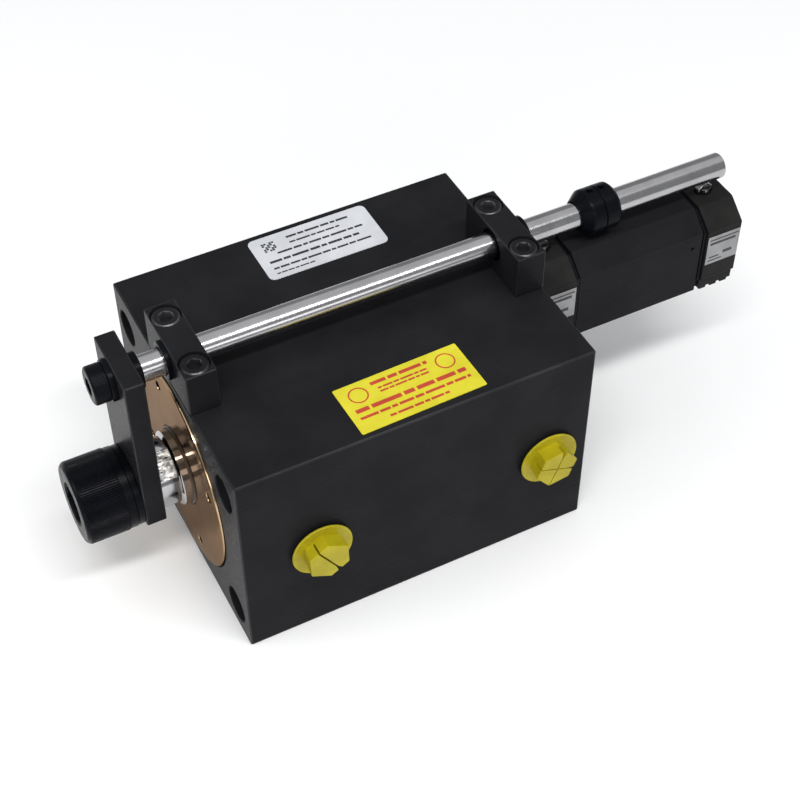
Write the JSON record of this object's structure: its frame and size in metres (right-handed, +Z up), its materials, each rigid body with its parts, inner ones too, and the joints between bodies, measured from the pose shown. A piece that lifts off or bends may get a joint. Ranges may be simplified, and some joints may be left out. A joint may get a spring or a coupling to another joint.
{
  "type": "block-type hydraulic cylinder with limit switches",
  "caption": "Compact block hydraulic cylinder: rod with link plate and clamp screw, parallel trip rod in guide blocks, trip collar, two roller limit switches, capped oil ports.",
  "frame": {"origin": "centre of the block's base face", "axes": "+X along the rods from the clamp screw towards the limit switches, +Y away from the oil-port side, +Z up"},
  "size_m": [0.347, 0.1499, 0.134],
  "materials": {
    "black_oxide": "satin black oxide",
    "black_screw": "black oxide, slightly oiled",
    "black_alloy": "black anodised",
    "bronze": "turned, polished",
    "chrome": "polished",
    "bright_steel": "ground",
    "seal_rubber": "matte",
    "yellow_plastic": "soft moulded",
    "white_label": "printed film",
    "yellow_label": "printed film",
    "silver_label": "printed foil"
  },
  "bodies": {
    "cylinder_body": {"cylinder_block": "black_oxide", "front_gland": "bronze", "rod_wiper": "seal_rubber", "rod_seal": "seal_rubber", "rod_wear_ring": "bronze", "gland_o_ring": "seal_rubber", "guide_block_front": "black_oxide", "guide_block_rear": "black_oxide", "guide_bush_front": "black_screw", "guide_bush_rear": "black_screw", "guide_screw_front_1": "black_screw", "guide_screw_front_2": "black_screw", "guide_screw_rear_1": "black_screw", "guide_screw_rear_2": "black_screw", "port_plug_front": "yellow_plastic", "port_plug_rear": "yellow_plastic", "switch_bar": "black_oxide", "tie_bolt_1": "black_screw", "tie_bolt_2": "black_screw", "switch_body_front": "black_alloy", "switch_body_rear": "black_alloy", "switch_cover_front": "black_screw", "switch_cover_rear": "black_screw", "switch_label_front": "silver_label", "switch_label_rear": "silver_label", "plunger_spring_front": "bright_steel", "plunger_spring_rear": "bright_steel", "rating_label": "white_label", "caution_label": "yellow_label"},
    "rod_assembly": {"piston_rod": "chrome", "piston": "bright_steel", "piston_seal": "seal_rubber", "piston_wear_ring_front": "bronze", "piston_wear_ring_rear": "bronze", "piston_nut": "bright_steel", "link_plate": "black_oxide", "clamp_washer": "black_screw", "clamp_screw": "black_screw", "trip_rod": "chrome", "trip_rod_shoulder": "black_screw", "trip_rod_washer": "black_screw", "trip_rod_screw": "black_screw"},
    "trip_collar": {"trip_ring_front": "black_screw", "trip_ring_rear": "black_screw", "trip_set_screw_front": "black_screw", "trip_set_screw_rear": "black_screw"},
    "plunger_front": {"switch_plunger_front": "bright_steel", "roller_pin_front": "bright_steel"},
    "plunger_rear": {"switch_plunger_rear": "bright_steel", "roller_pin_rear": "bright_steel"},
    "roller_front": {"switch_roller_front": "chrome"},
    "roller_rear": {"switch_roller_rear": "chrome"}
  },
  "joints": [
    {"name": "rod_stroke", "type": "slide", "parent": "cylinder_body", "child": "rod_assembly", "axis": [-1, 0, 0], "range_m": [0, 0.08]},
    {"name": "collar_slide", "type": "slide", "parent": "rod_assembly", "child": "trip_collar", "axis": [1, 0, 0], "range_m": [0, 0.0562]},
    {"name": "front_plunger_press", "type": "slide", "parent": "cylinder_body", "child": "plunger_front", "axis": [0, 0, -1], "range_m": [0, 0.0035]},
    {"name": "rear_plunger_press", "type": "slide", "parent": "cylinder_body", "child": "plunger_rear", "axis": [0, 0, -1], "range_m": [0, 0.0035], "stiffness_N_per_m": 800},
    {"name": "front_roller_spin", "type": "hinge", "parent": "plunger_front", "child": "roller_front", "pos_m": [0.0998, 0, 0.111], "axis": [0, 1, 0], "continuous": true},
    {"name": "rear_roller_spin", "type": "hinge", "parent": "plunger_rear", "child": "roller_rear", "pos_m": [0.1912, 0, 0.111], "axis": [0, 1, 0], "continuous": true}
  ],
  "couplings": [
    {"joint": "collar_slide", "follows": "rod_stroke", "ratio": 0.7},
    {"joint": "front_plunger_press", "follows": "rod_stroke", "ratio": 0.0435}
  ]
}
